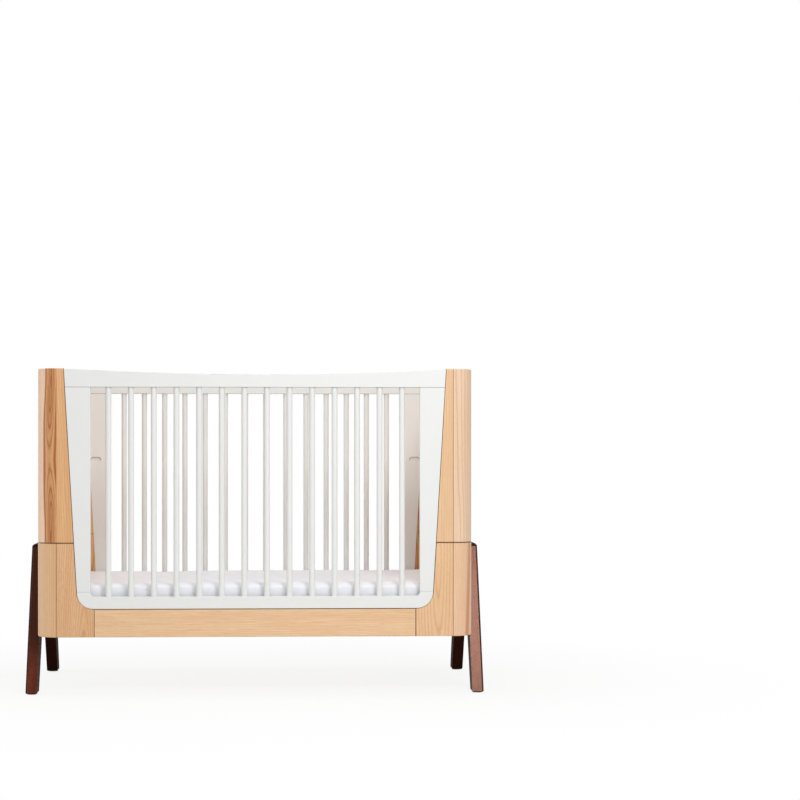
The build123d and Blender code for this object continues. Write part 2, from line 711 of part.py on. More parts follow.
with BuildPart() as frame_dowels:
    for x in stile_dowel_xs:
        for z in (opening_top, stile_foot):
            dowel = rod((x, -board_middle_y, z - dowel_reach), UP, dowel_diameter / 2, 2 * dowel_reach)
            for shape in four_corners(dowel):
                add(shape)
save(frame_dowels, "frame_dowels")

with BuildPart() as end_dowels:
    for shape in four_corners(post_pin_hole(dowel_diameter / 2, split_height - dowel_reach, UP,
                                            2 * dowel_reach)):
        add(shape)
    rail_dowel = rod((wood_rail_half - dowel_reach, -board_middle_y, rail_dowel_z), TO_RIGHT,
                     dowel_diameter / 2, 2 * dowel_reach)
    for shape in four_corners(rail_dowel):
        add(shape)
save(end_dowels, "end_dowels")

with BuildPart() as leg_dowels:
    for z in (leg_rail_middle - rail_dowel_rise, leg_rail_middle + rail_dowel_rise):
        start = (half_length + leg_thickness / 2, -leg_rear(z) - dowel_reach, z)
        for shape in four_corners(rod(start, TO_REAR, dowel_diameter / 2, 2 * dowel_reach)):
            add(shape)
save(leg_dowels, "leg_dowels")

with BuildPart() as base_sockets:
    with BuildSketch(Plane.XZ.offset(side_inside + socket_depth)):
        with Locations(socket_centre):
            RectangleRounded(socket_width - 2 * fit_clearance, socket_height - 2 * fit_clearance,
                             socket_corner - fit_clearance)
    extrude(amount=-socket_plate)
    plate = base_sockets.part
with BuildPart() as socket_plates:
    for shape in four_corners(plate.solid()):
        add(shape)
save(socket_plates, "socket_plates")

# ---------------------------------------------------------------- ledgers that carry the base
with BuildPart() as side_ledger:
    with BuildSketch(Plane.XZ.offset(side_inside - ledger_width)):
        with BuildLine():
            Polyline(
                (-side_ledger_half, ledger_bottom),
                (side_ledger_half, ledger_bottom),
                (side_ledger_half, ledger_top),
                (-side_ledger_half, ledger_top),
                close=True,
            )
        make_face()
    extrude(amount=ledger_width)
    chamfer(side_ledger.faces().sort_by(Axis.Y)[-1].edges(), wood_ease)
    for hole in side_ledger_fixings(screw_hole):
        add(hole, mode=Mode.SUBTRACT)

with BuildPart() as end_ledger:
    with BuildSketch(Plane.YZ.offset(panel_inside - ledger_width)):
        with BuildLine():
            Polyline(
                (-end_ledger_half, ledger_bottom),
                (end_ledger_half, ledger_bottom),
                (end_ledger_half, ledger_top),
                (-end_ledger_half, ledger_top),
                close=True,
            )
        make_face()
    extrude(amount=ledger_width)
    chamfer(end_ledger.faces().sort_by(Axis.X)[0].edges(), wood_ease)
    for hole in end_ledger_fixings(screw_hole):
        add(hole, mode=Mode.SUBTRACT)

with BuildPart() as ledger_screws:
    for shape in side_ledger_fixings(screw):
        add(shape)
        add(mirror(shape, about=Plane.XZ, mode=Mode.PRIVATE))
    for fixing in end_ledger_fixings(screw):
        for shape in two_ends(fixing):
            add(shape)

save_front_and_rear(side_ledger, "{face}_base_ledger")
save_left_and_right(end_ledger, "{side}_base_ledger")
save(ledger_screws, "ledger_screws")

# ---------------------------------------------------------------- mattress base
slat_xs = spread(slat_count, 2 * (base_half_length - slat_end_inset) - slat_width)
slat_half = base_half_depth - slat_end_inset
slat_screw_places = [(x, base_half_depth - base_rail_width / 2) for x in slat_xs]
base_rail_middle_z = ledger_top + base_rail_height / 2
end_rail_middle_x = base_half_length - base_rail_width / 2
base_screw_x = base_half_length - base_rail_width + base_screw_inset
base_screw_zs = [base_rail_middle_z - base_screw_pitch / 2, base_rail_middle_z + base_screw_pitch / 2]


def slat_fixings(make):
    """Screws, or their holes, along the front ends of the slats."""
    return [make((x, -y, base_top), DOWN, slat_screw_length) for x, y in slat_screw_places]


def base_corner_fixings(make):
    """Screws, or their holes, through the front base rail into both end rails."""
    screws = []
    for z in base_screw_zs:
        start = (base_screw_x, -base_half_depth, z)
        screws += two_ends(make(start, TO_REAR, base_screw_length))
    return screws


with BuildPart() as base_rail:
    with BuildSketch(Plane.XY.offset(ledger_top)):
        with BuildLine():
            inner_y = -(base_half_depth - base_rail_width)
            Polyline(
                (-base_half_length, -base_half_depth),
                (base_half_length, -base_half_depth),
                (base_half_length, inner_y),
                (-base_half_length, inner_y),
                close=True,
            )
        make_face()
        fillet(vertices().group_by(Axis.Y)[0], base_corner)
    extrude(amount=base_rail_height)
    for hole in slat_fixings(screw_hole) + base_corner_fixings(screw_hole):
        add(hole, mode=Mode.SUBTRACT)

with BuildPart() as base_end_rail:
    with BuildSketch(Plane.XY.offset(ledger_top)):
        with Locations((end_rail_middle_x, 0)):
            Rectangle(base_rail_width, 2 * (base_half_depth - base_rail_width))
    extrude(amount=base_rail_height)
    for hole in base_corner_fixings(screw_hole):
        add(hole, mode=Mode.SUBTRACT)
        add(mirror(hole, about=Plane.XZ, mode=Mode.PRIVATE), mode=Mode.SUBTRACT)

with BuildPart() as base_slats:
    with BuildSketch(Plane.XY.offset(base_rail_top)):
        with Locations([(x, 0) for x in slat_xs]):
            Rectangle(slat_width, 2 * slat_half)
    extrude(amount=slat_thickness)
    chamfer(base_slats.faces().group_by(Axis.Z)[-1].edges(), wood_ease)
    for hole in slat_fixings(screw_hole):
        add(hole, mode=Mode.SUBTRACT)
        add(mirror(hole, about=Plane.XZ, mode=Mode.PRIVATE), mode=Mode.SUBTRACT)

with BuildPart() as base_screws:
    for shape in slat_fixings(screw) + base_corner_fixings(screw):
        add(shape)
        add(mirror(shape, about=Plane.XZ, mode=Mode.PRIVATE))

save_front_and_rear(base_rail, "base_{face}_rail")
save_left_and_right(base_end_rail, "base_{side}_rail")
save(base_slats, "base_slats")
save(base_screws, "base_screws")

# ---------------------------------------------------------------- mattress
with BuildPart() as mattress:
    with BuildSketch(Plane.XY.offset(mattress_bottom)):
        RectangleRounded(2 * (panel_inside - mattress_side_gap), 2 * (side_inside - mattress_front_gap),
                         inner_radius + mattress_corner_extra)
    extrude(amount=mattress_height)
    fillet(mattress.edges().group_by(Axis.Z)[0] + mattress.edges().group_by(Axis.Z)[-1], mattress_edge)
save(mattress, "mattress")
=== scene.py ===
"""Baby crib: finishes, mattress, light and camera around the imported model. Metres, +Z up."""
import math

import bmesh
import bpy
from mathutils import Euler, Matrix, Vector, noise


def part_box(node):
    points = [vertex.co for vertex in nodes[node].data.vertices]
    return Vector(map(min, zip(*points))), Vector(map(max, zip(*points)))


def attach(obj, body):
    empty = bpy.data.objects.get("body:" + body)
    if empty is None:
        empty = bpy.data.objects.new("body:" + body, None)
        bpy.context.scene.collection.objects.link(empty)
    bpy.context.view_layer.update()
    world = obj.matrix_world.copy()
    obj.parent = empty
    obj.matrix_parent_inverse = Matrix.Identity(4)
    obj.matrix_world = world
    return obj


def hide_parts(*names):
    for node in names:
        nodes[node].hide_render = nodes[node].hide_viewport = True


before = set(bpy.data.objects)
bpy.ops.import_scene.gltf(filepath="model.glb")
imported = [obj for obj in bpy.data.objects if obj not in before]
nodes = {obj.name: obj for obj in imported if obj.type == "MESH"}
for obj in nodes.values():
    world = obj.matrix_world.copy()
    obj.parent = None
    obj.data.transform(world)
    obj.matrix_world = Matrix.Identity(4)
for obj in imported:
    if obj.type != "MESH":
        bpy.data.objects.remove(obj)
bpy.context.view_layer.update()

MM = 0.001

# Turns that lay a material's grain along Z, along X and along Y.
GRAIN_UP = (0.0, 0.0, 0.0)
GRAIN_ALONG = (0.0, math.radians(90), 0.0)
GRAIN_ACROSS = (math.radians(90), 0.0, 0.0)

# The outline of the white frame, which the ash boards close round. Its sides lean out towards the top.
WING_LOW, WING_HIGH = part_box("right_upper_front_wing")
FRAME_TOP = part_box("front_top_rail")[1]
FRAME_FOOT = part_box("front_bottom_rail")[0].z
FRAME_CORNER = 50 * MM
FRAME_LEAN = math.atan2(FRAME_TOP.x - WING_LOW.x, FRAME_TOP.z - WING_LOW.z)

# Joints and the white frame's edge are drawn as lines of painted shadow, in SEAM_SHADOW_TINT on the wood.
SEAM_REACH = 1.0 * MM
SEAM_SHADOW_TINT = "#68402A"
RING_STAIN = "#B97844"     # multiplies the ring lines close to the heart


# ---------------------------------------------------------------- colour and node helpers
def linear(code):
    """A linear RGBA colour from an sRGB hex code such as "#E8C9A0"."""
    channels = [int(code[place:place + 2], 16) / 255 for place in (1, 3, 5)]
    return [c / 12.92 if c <= 0.04045 else ((c + 0.055) / 1.055) ** 2.4 for c in channels] + [1.0]


def new_material(name):
    """An empty material and its node tree."""
    material = bpy.data.materials.new(name)
    material.use_nodes = True
    material.node_tree.nodes.clear()
    return material, material.node_tree


def add_node(tree, kind, inputs=None, **settings):
    """A node with its settings. An input is a value, or an output socket to link from."""
    made = tree.nodes.new(kind)
    for setting, value in settings.items():
        setattr(made, setting, value)
    for socket, value in (inputs or {}).items():
        if isinstance(value, bpy.types.NodeSocket):
            tree.links.new(value, made.inputs[socket])
        else:
            made.inputs[socket].default_value = value
    return made


def set_ramp(ramp, stops):
    """Grey stops as (place, level)."""
    elements = ramp.color_ramp.elements
    while len(elements) > 1:
        elements.remove(elements[-1])
    (first_place, first_level), *others = stops
    elements[0].position = first_place
    elements[0].color = (first_level, first_level, first_level, 1.0)
    for place, level in others:
        elements.new(place).color = (level, level, level, 1.0)


def dress(names, material):
    """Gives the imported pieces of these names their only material."""
    for name in names:
        mesh = nodes[name].data
        mesh.materials.clear()
        mesh.materials.append(material)


# ---------------------------------------------------------------- grain and joints
def along_grain(tree, origin, grain):
    """Object coordinates turned so that local Z runs with the grain, from a point on the tree's heart."""
    place = add_node(tree, "ShaderNodeTexCoord").outputs["Object"]
    return add_node(
        tree, "ShaderNodeMapping", {"Vector": place, "Location": origin, "Rotation": grain},
        vector_type="TEXTURE").outputs[0]


def streaks(tree, coordinates, across, along, detail=3.0):
    """Noise drawn out along the grain. Both sizes in metres."""
    stretched = add_node(
        tree, "ShaderNodeVectorMath",
        {0: coordinates, 1: (1 / across, 1 / across, 1 / along)}, operation="MULTIPLY").outputs[0]
    return add_node(
        tree, "ShaderNodeTexNoise",
        {"Vector": stretched, "Scale": 1.0, "Detail": detail, "Roughness": 0.55})


def bowed(tree, place, bow, length):
    """The log's coordinates where it bows away behind the board and comes back once in each length."""
    height = add_node(tree, "ShaderNodeSeparateXYZ", {0: place}).outputs[2]
    turn = add_node(
        tree, "ShaderNodeMath", {0: height, 1: math.tau / length}, operation="MULTIPLY").outputs[0]
    swing = add_node(tree, "ShaderNodeMath", {0: turn}, operation="COSINE").outputs[0]
    away = add_node(
        tree, "ShaderNodeMapRange",
        {"Value": swing, "From Min": -1.0, "From Max": 1.0, "To Min": bow, "To Max": 0.0}).outputs[0]
    shift = add_node(tree, "ShaderNodeCombineXYZ", {1: away}).outputs[0]
    return add_node(tree, "ShaderNodeVectorMath", {0: place, 1: shift}, operation="SUBTRACT").outputs[0]


def line_mask(tree, away, full, reach):
    """1 where away is within full of 0, fading to 0 at reach."""
    away = add_node(tree, "ShaderNodeMath", {0: away}, operation="ABSOLUTE").outputs[0]
    return add_node(
        tree, "ShaderNodeMapRange",
        {"Value": away, "From Min": full, "From Max": reach, "To Min": 1.0, "To Max": 0.0}).outputs[0]


def plane_distance(tree, normal, distance):
    """How far in front of a plane each point lies."""
    place = add_node(tree, "ShaderNodeTexCoord").outputs["Object"]
    along = add_node(
        tree, "ShaderNodeVectorMath", {0: place, 1: normal}, operation="DOT_PRODUCT").outputs["Value"]
    return add_node(tree, "ShaderNodeMath", {0: along, 1: distance}, operation="SUBTRACT").outputs[0]


def frame_outline(tree):
    """Distance from the outline of the white frame: slanting sides, round lower corners, level foot."""
    place = add_node(tree, "ShaderNodeTexCoord").outputs["Object"]
    place = add_node(tree, "ShaderNodeVectorMath", {0: place}, operation="ABSOLUTE").outputs[0]
    across, up = math.cos(FRAME_LEAN), math.sin(FRAME_LEAN)
    slant = add_node(
        tree, "ShaderNodeVectorMath", {0: place, 1: (across, 0.0, -up)},
        operation="DOT_PRODUCT").outputs["Value"]
    at_side = across * FRAME_TOP.x - up * FRAME_TOP.z - FRAME_CORNER
    past_side = add_node(tree, "ShaderNodeMath", {0: slant, 1: at_side}, operation="SUBTRACT").outputs[0]
    height = add_node(tree, "ShaderNodeSeparateXYZ", {0: place}).outputs[2]
    past_foot = add_node(
        tree, "ShaderNodeMath", {0: FRAME_FOOT + FRAME_CORNER, 1: height}, operation="SUBTRACT").outputs[0]
    corner = add_node(tree, "ShaderNodeCombineXYZ", {0: past_side, 1: past_foot}).outputs[0]
    corner = add_node(
        tree, "ShaderNodeVectorMath", {0: corner, 1: (0.0, 0.0, 0.0)}, operation="MAXIMUM").outputs[0]
    corner = add_node(tree, "ShaderNodeVectorMath", {0: corner}, operation="LENGTH").outputs["Value"]
    return add_node(tree, "ShaderNodeMath", {0: corner, 1: FRAME_CORNER}, operation="SUBTRACT").outputs[0]


def upright_seam(x, reach=SEAM_REACH):
    """A joint on a plane of constant X, as (normal, distance from 0, reach)."""
    return (1.0, 0.0, 0.0), x, reach


def level_seam(z, reach=SEAM_REACH):
    """A joint on a plane of constant Z, as (normal, distance from 0, reach)."""
    return (0.0, 0.0, 1.0), z, reach


def seam_shade(tree, seams, outline=False):
    """Painted shadow mask: 1 on the given joints, and on the white frame's outline where asked, fading to 0
    beside them.
    """
    shade = line_mask(tree, frame_outline(tree), 1.0 * MM, 2.4 * MM) if outline else 0.0
    for normal, distance, reach in seams:
        seam = line_mask(tree, plane_distance(tree, normal, distance), 0.3 * reach, reach)
        shade = add_node(tree, "ShaderNodeMath", {0: seam, 1: shade}, operation="MAXIMUM").outputs[0]
    return shade


# ---------------------------------------------------------------- wood
def with_shaded_matt_sides(tree, sides, streak_mask, lines, colour, shine):
    """The wood's colour and roughness, with duller wood behind its front face and at its head, painted darker
    there as shade.

    sides is (roughness, paler colour, deeper colour, head, front), the colours being those of the painted
    shade.
    The front face lies on the plane front, given as (normal, distance from 0), and head is the height above
    which all the wood is matt and painted dark.
    """
    roughness, pale, deep, head, (outward, distance) = sides
    behind = add_node(
        tree, "ShaderNodeMapRange",
        {"Value": plane_distance(tree, outward, distance), "From Min": -2.0 * MM, "From Max": -0.4 * MM,
         "To Min": 1.0, "To Max": 0.0}).outputs[0]
    place = add_node(tree, "ShaderNodeTexCoord").outputs["Object"]
    level = add_node(tree, "ShaderNodeSeparateXYZ", {0: place}).outputs[2]
    above = add_node(
        tree, "ShaderNodeMapRange",
        {"Value": level, "From Min": head - 1.0 * MM, "From Max": head}).outputs[0]
    # matt is 1 behind the front face and above the head: there the wood is dull and takes painted shade
    # colours.
    matt = add_node(tree, "ShaderNodeMath", {0: behind, 1: above}, operation="MAXIMUM").outputs[0]
    shaded_colour = add_node(
        tree, "ShaderNodeMix", {"Factor": streak_mask, 6: linear(pale), 7: linear(deep)},
        data_type="RGBA").outputs[2]
    shaded_colour = add_node(
        tree, "ShaderNodeMix", {"Factor": lines, 6: shaded_colour, 7: linear(deep)}, data_type="RGBA").outputs[2]
    colour = add_node(
        tree, "ShaderNodeMix", {"Factor": matt, 6: colour, 7: shaded_colour}, data_type="RGBA").outputs[2]
    shine = add_node(
        tree, "ShaderNodeMix", {"Factor": matt, 2: shine, 3: roughness}, data_type="FLOAT").outputs[0]
    return colour, shine


def with_heart(tree, from_heart, lines, colour, heart, reach, tone):
    """The wood's colour, tinted near the middle of the tree, where its ring lines are stained too."""
    mask = add_node(
        tree, "ShaderNodeMapRange",
        {"Value": from_heart, "From Min": 0.35 * reach, "From Max": reach, "To Min": tone,
         "To Max": 0.0}).outputs[0]
    colour = add_node(
        tree, "ShaderNodeMix", {"Factor": mask, 6: colour, 7: linear(heart)}, data_type="RGBA").outputs[2]
    stain = add_node(tree, "ShaderNodeMath", {0: mask, 1: lines}, operation="MULTIPLY").outputs[0]
    return add_node(
        tree, "ShaderNodeMix", {"Factor": stain, 6: colour, 7: linear(RING_STAIN)},
        data_type="RGBA", blend_type="MULTIPLY").outputs[2]


def with_lit_pale_band(tree, from_heart, colour, heart, start, lit_band_code):
    """The wood's colour, with a dark border and a pale band of painted light from the distance start
    outwards.
    """
    past = add_node(tree, "ShaderNodeMath", {0: from_heart, 1: start}, operation="SUBTRACT").outputs[0]
    border_reach = 3.5 * MM
    border = line_mask(tree, past, 0.3 * border_reach, border_reach)
    colour = add_node(
        tree, "ShaderNodeMix", {"Factor": border, 6: colour, 7: linear(heart)}, data_type="RGBA").outputs[2]
    lit_band_mask = add_node(
        tree, "ShaderNodeMapRange",
        {"Value": from_heart, "From Min": start + 1 * MM, "From Max": start + 5 * MM,
         "To Max": 0.8}).outputs[0]
    return add_node(
        tree, "ShaderNodeMix", {"Factor": lit_band_mask, 6: colour, 7: linear(lit_band_code)},
        data_type="RGBA").outputs[2]


def wood(name, origin, grain, early, late, heart, ring=6.0, wander=9.0, line=0.55, fine=0.5, tone=0.5,
         heart_reach=0.0, heart_tone=0.7, bow=0.0, bow_length=0.5, foot=None, lit_band=None, sides=None,
         roughness=0.42, pore_depth=0.06, specular=0.4, tint="#FFFFFF", seams=(), outline=False):
    """Finished wood cut from one log.

    early and late are the two colours of a year ring and heart the tint near the middle of the tree.
    ring is the ring spacing and wander how far the rings stray, both in millimetres.
    line, fine and tone are the strengths of the ring lines, of the fine lines between them and of the
    broad bands.
    heart_reach is how far the heart tint reaches from the origin, in millimetres, and heart_tone how strong.
    bow is how far the log bows away behind the board, in millimetres, and bow_length how often, in metres.
    foot is (head height, foot height, head colour, foot colour) for colour that grades from head to foot.
    lit_band is (distance from the heart in millimetres, colour) where the heartwood ends in a pale band
    of painted light.
    sides is what with_shaded_matt_sides takes, for wood that is duller behind its front face
    and painted darker there as shade.
    seams are the joints that show on the board, and outline is true where the white frame's edge does;
    both are drawn as lines of painted shadow.
    """
    material, tree = new_material(name)
    place = along_grain(tree, origin, grain)
    if bow:
        place = bowed(tree, place, bow * MM, bow_length)
    slow = streaks(tree, place, 60 * MM, 340 * MM, 2.0)
    strayed = add_node(
        tree, "ShaderNodeVectorMath",
        {0: slow.outputs["Color"], 1: (0.5, 0.5, 0.5)}, operation="SUBTRACT").outputs[0]
    strayed = add_node(
        tree, "ShaderNodeVectorMath",
        {0: strayed, 1: (2 * wander * MM, 2 * wander * MM, 0.0), 2: place},
        operation="MULTIPLY_ADD").outputs[0]
    # A wave texture of scale 1 repeats every tau / 20 metres.
    rings = add_node(
        tree, "ShaderNodeTexWave",
        {"Vector": strayed, "Scale": math.tau / (20 * ring * MM), "Distortion": 0.9, "Detail": 2.0,
         "Detail Scale": 1.5},
        wave_type="RINGS", rings_direction="Z", wave_profile="SAW")
    ring_lines = add_node(tree, "ShaderNodeValToRGB", {"Fac": rings.outputs["Fac"]})
    set_ramp(ring_lines, [(0.0, 0.9), (0.10, 0.2), (0.40, 0.0), (0.72, 0.12), (0.94, 1.0), (1.0, 0.9)])
    lines = add_node(
        tree, "ShaderNodeMath", {0: ring_lines.outputs[0], 1: line}, operation="MULTIPLY").outputs[0]
    # Fibres: fine lines about 1.6 mm wide that run some 90 mm along the grain.
    fibres = streaks(tree, place, 1.6 * MM, 90 * MM, 3.0).outputs[0]
    fibre_mask = add_node(
        tree, "ShaderNodeMapRange",
        {"Value": fibres, "From Min": 0.42, "From Max": 0.66, "To Max": fine}).outputs[0]
    # Spring pores: short dark dashes about 0.5 mm wide and 14 mm long, drawn 1 mm wide so that they show.
    pores = streaks(tree, place, 1.0 * MM, 16 * MM, 2.0).outputs[0]
    pore_mask = add_node(
        tree, "ShaderNodeMapRange", {"Value": pores, "From Min": 0.52, "From Max": 0.72}).outputs[0]
    # Broad bands of paler and deeper wood, about 25 mm wide.
    bands = streaks(tree, place, 25 * MM, 700 * MM, 2.0).outputs[0]
    band_mask = add_node(
        tree, "ShaderNodeMapRange",
        {"Value": bands, "From Min": 0.35, "From Max": 0.75, "To Max": tone}).outputs[0]
    colour = linear(early)
    if foot:
        head_z, foot_z, head_code, foot_code = foot
        level = add_node(
            tree, "ShaderNodeSeparateXYZ", {0: add_node(tree, "ShaderNodeTexCoord").outputs["Object"]})
        downwards = add_node(
            tree, "ShaderNodeMapRange",
            {"Value": level.outputs[2], "From Min": foot_z, "From Max": head_z, "To Min": 1.0,
             "To Max": 0.0}).outputs[0]
        colour = add_node(
            tree, "ShaderNodeMix", {"Factor": downwards, 6: linear(head_code), 7: linear(foot_code)},
            data_type="RGBA").outputs[2]
    for mask, code in ((band_mask, late), (fibre_mask, late), (lines, heart)):
        colour = add_node(
            tree, "ShaderNodeMix", {"Factor": mask, 6: colour, 7: linear(code)}, data_type="RGBA").outputs[2]
    if heart_reach or lit_band:
        flat = add_node(
            tree, "ShaderNodeVectorMath", {0: strayed, 1: (1.0, 1.0, 0.0)}, operation="MULTIPLY").outputs[0]
        from_heart = add_node(tree, "ShaderNodeVectorMath", {0: flat}, operation="LENGTH").outputs["Value"]
    if heart_reach:
        colour = with_heart(tree, from_heart, lines, colour, heart, heart_reach * MM, heart_tone)
    # A pale band of painted light beyond a dark border.
    if lit_band:
        lit_band_start, lit_band_code = lit_band
        colour = with_lit_pale_band(tree, from_heart, colour, heart, lit_band_start * MM, lit_band_code)
    pore_tint = add_node(tree, "ShaderNodeMapRange", {"Value": pore_mask, "To Max": 0.22}).outputs[0]
    colour = add_node(
        tree, "ShaderNodeMix", {"Factor": pore_tint, 6: colour, 7: linear(heart)},
        data_type="RGBA").outputs[2]
    # Painted shadow along the joints and along the white frame's edge.
    if seams or outline:
        shade = seam_shade(tree, seams, outline)
        colour = add_node(
            tree, "ShaderNodeMix", {"Factor": shade, 6: colour, 7: linear(SEAM_SHADOW_TINT)},
            data_type="RGBA").outputs[2]
    shine = add_node(
        tree, "ShaderNodeMapRange",
        {"Value": pore_mask, "To Min": roughness, "To Max": roughness + 0.14}).outputs[0]
    # Painted shade, with duller wood, on the faces behind the front face and at the head.
    if sides:
        streak_mask = add_node(
            tree, "ShaderNodeMapRange", {"Value": fibres, "From Min": 0.42, "From Max": 0.66}).outputs[0]
        colour, shine = with_shaded_matt_sides(tree, sides, streak_mask, lines, colour, shine)
    relief = add_node(
        tree, "ShaderNodeMath", {0: pore_mask, 1: -1.0, 2: 1.0}, operation="MULTIPLY_ADD").outputs[0]
    bump = add_node(
        tree, "ShaderNodeBump", {"Height": relief, "Distance": pore_depth * MM, "Strength": 0.6})
    shader = add_node(
        tree, "ShaderNodeBsdfPrincipled",
        {"Base Color": colour, "Roughness": shine, "Specular IOR Level": specular,
         "Specular Tint": linear(tint), "Normal": bump.outputs[0]})
    add_node(tree, "ShaderNodeOutputMaterial", {"Surface": shader.outputs[0]})
    return material


def dress_ash_front():
    """Natural ash under a matt lacquer: pale straw colour, brown ring lines, open pores.

    These boards face the front, and each has its own log.
    """
    seam_x, split_z = WING_HIGH.x, WING_LOW.z
    front_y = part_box("right_lower_front_wing")[0].y
    # Each board's log lies behind its face, tilted a little, so that the rings cut it in arches.
    boards = {
        "right_lower_front_wing": dict(
            origin=(seam_x - 0.046, front_y - 0.004, split_z - 0.02), grain=(0.085, 0.0, 0.0),
            early="#F1C9A0", late="#E4B585", heart="#C48C58", ring=9.0, wander=3.0, line=0.42),
        "right_upper_front_wing": dict(
            origin=(seam_x - 0.10, front_y + 0.09, 0.9), grain=(0.01, 0.004, 0.0),
            early="#EFC9A0", late="#E2B587", heart="#CB9A68", ring=5.0, wander=4.0, line=0.35),
        "right_upper_front_post": dict(
            origin=(seam_x + 0.02, front_y + 0.16, 0.9), grain=(0.006, 0.0, 0.0),
            early="#F3D6B8", late="#E6C09C", heart="#CFA077", ring=5.5, wander=3.0, line=0.5),
        "right_lower_front_post": dict(
            origin=(seam_x + 0.052, front_y + 0.031, 0.45), grain=(-0.035, 0.035, 0.0),
            early="#F2CEAC", late="#E6BA94", heart="#D08A5C", ring=5.5, wander=2.5, line=0.3,
            heart_reach=12.0, heart_tone=0.85),
        # The pale band at this post's left edge is painted light on its round corner.
        "left_upper_front_post": dict(
            origin=(-seam_x - 0.017, front_y - 0.001, 1.0), grain=GRAIN_UP,
            early="#E6B683", late="#D49A62", heart="#AC6430", ring=4.2, wander=7.0, line=0.75, fine=0.8,
            heart_reach=16.0, heart_tone=0.55, bow=17.0, bow_length=0.55, lit_band=(19.0, "#F6D4B8")),
        "left_upper_front_wing": dict(
            origin=(-seam_x + 0.10, front_y + 0.07, 0.7), grain=(0.02, -0.02, 0.0),
            early="#EDBE8C", late="#D9A06A", heart="#BC8050", ring=6.0, wander=6.0, line=0.4),
        "left_lower_front_post": dict(
            origin=(-seam_x - 0.10, front_y + 0.14, 0.3), grain=(0.0, 0.012, 0.0),
            early="#E9C196", late="#D6A776", heart="#B98658", ring=4.5, wander=2.5, line=0.3),
        "left_lower_front_wing": dict(
            origin=(-seam_x + 0.085, front_y + 0.012, 0.20), grain=(-0.07, 0.02, 0.0),
            early="#ECC094", late="#D6A26E", heart="#B97C4A", ring=6.0, wander=6.0, line=0.45),
    }
    for board, look in boards.items():
        sign = -1 if board.startswith("left") else 1
        # Painted shadow lines: in the split groove, in the joint between post and wing except on the left
        # upper boards, and round the white frame on the wings.
        seams = [level_seam(split_z, 1.6 * MM)]
        if not board.startswith("left_upper"):
            seams.insert(0, upright_seam(sign * seam_x))
        dress([board], wood("ash_" + board, seams=seams, outline=board.endswith("_wing"), **look))


def dress_ash_rear():
    """The ash boards at the back, from four more logs that take turns."""
    seam_x = WING_HIGH.x
    depth = -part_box("right_lower_front_wing")[0].y
    # Painted shadow lines in the joints between posts and wings and in the split groove.
    seams = [upright_seam(seam_x), upright_seam(-seam_x), level_seam(WING_LOW.z)]
    logs = [
        wood("ash_plain", (seam_x - 0.05, depth - 0.10, 0.5), (0.015, 0.01, 0.0),
             "#EBC497", "#D6A672", "#BC8554", ring=5.0, wander=5.0, seams=seams),
        wood("ash_figured", (-seam_x + 0.04, depth + 0.01, 0.75), (0.055, 0.0, 0.0),
             "#E8BC8B", "#CC9662", "#AE7748", ring=7.0, wander=6.0, line=0.6, seams=seams),
        wood("ash_pale", (-seam_x - 0.02, depth - 0.15, 0.4), (0.008, 0.0, 0.0),
             "#ECCBA6", "#DBB085", "#BE8F62", ring=4.5, wander=3.0, seams=seams),
    ]
    boards = [name for name in sorted(nodes) if "_rear_post" in name or "_rear_wing" in name]
    for place, board in enumerate(boards):
        dress([board], logs[place % len(logs)])
    dress(["right_lower_rear_wing", "right_upper_rear_wing"], wood(
        "ash_deep", (seam_x - 0.03, depth + 0.01, 0.6), (0.03, 0.02, 0.0),
        "#DDA874", "#BC8048", "#94572C", ring=5.0, wander=6.0, line=0.7, seams=seams))


def dress_ash_panels():
    """The end panels: flat-sawn boards with tall arches on the broad face."""
    face_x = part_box("right_upper_end_panel")[1].x
    for side, sign in (("left", -1), ("right", 1)):
        for level, heart_y, heart_z in (("upper", 0.06, 0.62), ("lower", -0.09, 0.22)):
            dress([f"{side}_{level}_end_panel"], wood(
                f"ash_{side}_{level}_end_panel", (sign * (face_x + 0.006), sign * heart_y, heart_z),
                (0.02, -sign * 0.075, 0.0), "#EAC192", "#D3A06C", "#B27A4A", ring=9.0, wander=14.0,
                line=0.6))


def dress_ash_rails():
    """The long wooden rails, with their grain lengthwise and painted shadow in the open joints at their ends
    and top.
    """
    front_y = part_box("right_lower_front_wing")[0].y
    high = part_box("front_wood_rail")[1]
    # Painted shadow lines at the rail's ends, wider at the right end, and under the white frame.
    seams = [upright_seam(high.x, 2.8 * MM), upright_seam(-high.x, 1.6 * MM), level_seam(high.z, 1.8 * MM)]
    slight_roll = 0.012
    for face, sign in (("front", 1), ("rear", -1)):
        dress([f"{face}_wood_rail"], wood(
            f"ash_{face}_rail", (0.10, sign * (front_y - 0.03), 0.16), (slight_roll, *GRAIN_ALONG[1:]),
            "#F6D3AC", "#E6BA8C", "#C79260", ring=4.5, wander=6.0, line=0.3, fine=0.9, seams=seams))


def front_plane(name):
    """The plane of a piece's largest face towards the front: (normal, distance from 0)."""
    mesh = nodes[name].data
    face = max((face for face in mesh.polygons if face.normal.y < -0.8), key=lambda face: face.area)
    return tuple(face.normal), face.normal.dot(mesh.vertices[face.vertices[0]].co)


